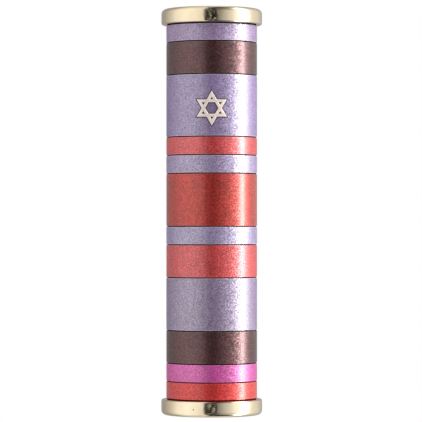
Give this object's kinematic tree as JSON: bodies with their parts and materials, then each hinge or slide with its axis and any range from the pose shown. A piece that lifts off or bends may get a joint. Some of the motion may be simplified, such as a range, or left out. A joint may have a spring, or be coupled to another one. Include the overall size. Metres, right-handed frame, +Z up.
{
  "type": "mezuzah case",
  "caption": "Slim tubular wall case for a rolled scroll, of coloured anodised rings between polished caps, with a pull-out bottom cap.",
  "frame": {"origin": "on the wall, half way up the case, at the middle of the wall plate's back and half way between its two screw holes", "axes": "+Z up along the case, +Y into the wall, +X to the right of a person who faces the case"},
  "size_m": [0.0278, 0.0304, 0.1116],
  "materials": {
    "anodised_lavender": "satin anodised, fine grain",
    "anodised_brown": "satin anodised, finely brushed around",
    "anodised_coral": "satin anodised, fine grain",
    "anodised_red": "satin anodised, finely brushed around",
    "anodised_magenta": "satin anodised, fine grain",
    "champagne_gold": "polished, lightly hand finished",
    "plain_aluminium": "drawn, unfinished",
    "graphite_aluminium": "dark grey anodised, brushed lengthwise",
    "wall_plate_steel": "brushed lengthwise",
    "screw_steel": "bright turned",
    "black_rubber": "matt moulded rubber",
    "parchment": "dry scraped parchment",
    "clear_plastic": "clear and glossy"
  },
  "bodies": {
    "wall_plate": {"wall_plate": "wall_plate_steel"},
    "case": {"mount_rail": "graphite_aluminium", "rail_screws": "screw_steel", "inner_tube": "plain_aluminium", "top_cap": "champagne_gold", "ring_01_lavender": "anodised_lavender", "ring_02_brown": "anodised_brown", "ring_03_lavender": "anodised_lavender", "ring_04_coral": "anodised_coral", "ring_05_lavender": "anodised_lavender", "ring_06_red": "anodised_red", "ring_07_lavender": "anodised_lavender", "ring_08_coral": "anodised_coral", "ring_09_lavender": "anodised_lavender", "ring_10_brown": "anodised_brown", "ring_11_magenta": "anodised_magenta", "ring_12_red": "anodised_red", "emblem": "champagne_gold"},
    "seal": {"o_ring": "black_rubber"},
    "bottom_cap": {"bottom_cap": "champagne_gold"},
    "scroll": {"parchment_scroll": "parchment", "scroll_sleeve": "clear_plastic"}
  },
  "joints": [
    {"name": "plate_slide", "type": "slide", "parent": "wall_plate", "child": "case", "axis": [0, 0, 1], "range_m": [0, 0.09]},
    {"name": "cap_pull", "type": "slide", "parent": "case", "child": "seal", "axis": [0, 0, -1], "range_m": [0, 0.11]},
    {"name": "cap_twist", "type": "hinge", "parent": "seal", "child": "bottom_cap", "pos_m": [0, -0.0165, -0.0515], "axis": [0, 0, 1], "continuous": true},
    {"name": "scroll_lift", "type": "slide", "parent": "bottom_cap", "child": "scroll", "axis": [0, 0, 1], "range_m": [0, 0.0018]}
  ]
}
